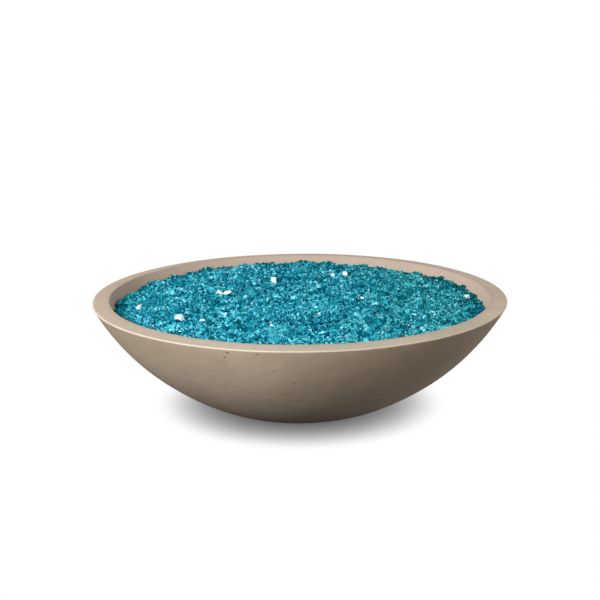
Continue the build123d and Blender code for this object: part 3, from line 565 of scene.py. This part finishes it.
def patches(x, y):
    """Slow change of tone across the bed. Painted shade darkens it along the wall, most of all at the back."""
    painted_wall_shade = rising(math.hypot(x, y), 0.33, 0.355) * (0.22 if y > -0.1 else 0.08)
    large = 0.2 * noise.noise(Vector((x * 14, y * 20, 3)))
    return -painted_wall_shade + large + 0.24 * noise.noise(Vector((x * 40, y * 60, 7)))


# Places are tried up to this far from the middle. The rows stand a little closer than the chips in a row, and
# each chip is shaken by a share of the pitch.
bed_reach, row_step, shake = 0.37, 0.87, 0.35


def scatter(pitch, low, high):
    """Places over the whole bed, in shaken rows about this far apart, and this far above it."""
    columns, rows = int(bed_reach / pitch), int(bed_reach / (row_step * pitch))
    places = []
    for i in range(-columns, columns + 1):
        for j in range(-rows, rows + 1):
            x = (i + 0.5 * (j % 2)) * pitch + dice.uniform(-shake, shake) * pitch
            y = j * pitch * row_step + dice.uniform(-shake, shake) * pitch
            level = top_height(x, y)
            if level:
                places.append((x, y, level + swell(x, y, mounds) + dice.uniform(low, high)))
    return places


# Two layers of chips, each with its pitch, its usual size, and its least and most height above the bed.
layers = [("glass_chips", 0.0068, 0.009, -0.003, 0.001), ("small_chips", 0.0074, 0.006, 0.0005, 0.0035)]
for name, pitch, size, low, high in layers:
    places = scatter(pitch, low, high)
    sizes = np.clip(dice.lognormal(math.log(size), 0.22, len(places)), 0.6 * size, 1.7 * size)
    tones = dice.normal(0.45, 0.2, len(places)) + [patches(x, y) for x, y, z in places]
    pile(name, lumps, places, sizes, tones, aqua)

# The larger lumps of the next grade lie among them.
places = scatter(0.0135, -0.0015, 0.002)
tones = dice.normal(0.47, 0.13, len(places)) + [patches(x, y) for x, y, z in places]
pile("large_chips", lumps, places, dice.uniform(0.0095, 0.0155, len(places)), tones, aqua, 0.15)

# Rows of chips along the bed's side, up to its top.
side_places, side_pitch, side_depth, side_shake = [], 0.0075, 0.003, 0.002
for level in np.arange(0.171, 0.198, 0.0065):
    ring = math.sqrt(wall_reach**2 - (wall_centre - level) ** 2) - side_depth
    count = int(2 * math.pi * ring / side_pitch)
    for k in range(count):
        turn = (k + dice.uniform(-0.3, 0.3)) * 2 * math.pi / count
        x, y = ring * math.cos(turn), ring * math.sin(turn)
        if level < (top_height(0.96 * x, 0.96 * y) or 1) - side_shake:
            side_places.append((x, y, level + dice.uniform(-side_shake, side_shake)))
sizes = dice.uniform(0.007, 0.0105, len(side_places))
pile("side_chips", lumps, side_places, sizes, dice.normal(0.4, 0.2, len(side_places)), aqua)

# Shards of clear glass: broken like the rest. A few flat ones got in among the aqua lumps and lie on top.
# Their near-white colour and faint glow are painted: a painted glint of the lamp's light.
clear = Finish("clear_glass")
cloud = clear.noise(0.003, 3, 0.6)
tone = clear.mix(cloud.between(0.3, 0.7), (0.95, 0.98, 1.0), (0.6, 0.8, 0.9))
painted_glint_glass = clear.solid(Base_Color=tone, Roughness=0.1, Emission_Color=tone, Emission_Strength=0.15)
clear_lift = 0.0055
clear_places = [
    (-0.224, -0.133, 0.022), (-0.053, 0.133, 0.025), (-0.159, 0.053, 0.021), (-0.144, 0.043, 0.016),
    (-0.309, -0.057, 0.017), (0.097, 0.203, 0.019), (0.071, 0.195, 0.012), (0.122, -0.006, 0.012),
    (-0.049, -0.188, 0.013), (0.334, 0.04, 0.017), (0.036, -0.118, 0.01), (-0.179, -0.162, 0.01),
]
shards = [(shape * (1.15, 0.8, 0.6), faces) for shape, faces in (lump(4), lump(4), lump(5))]
places = [(x, y, top_height(x, y) + clear_lift) for x, y, size in clear_places]
sizes = np.array([size for x, y, size in clear_places])
pile("clear_shards", shards, places, sizes, np.full(len(places), 0.5), painted_glint_glass)

low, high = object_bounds()
sizes = {"cad": [list(cad_low), list(cad_high)], "visual": [list(low), list(high)]}
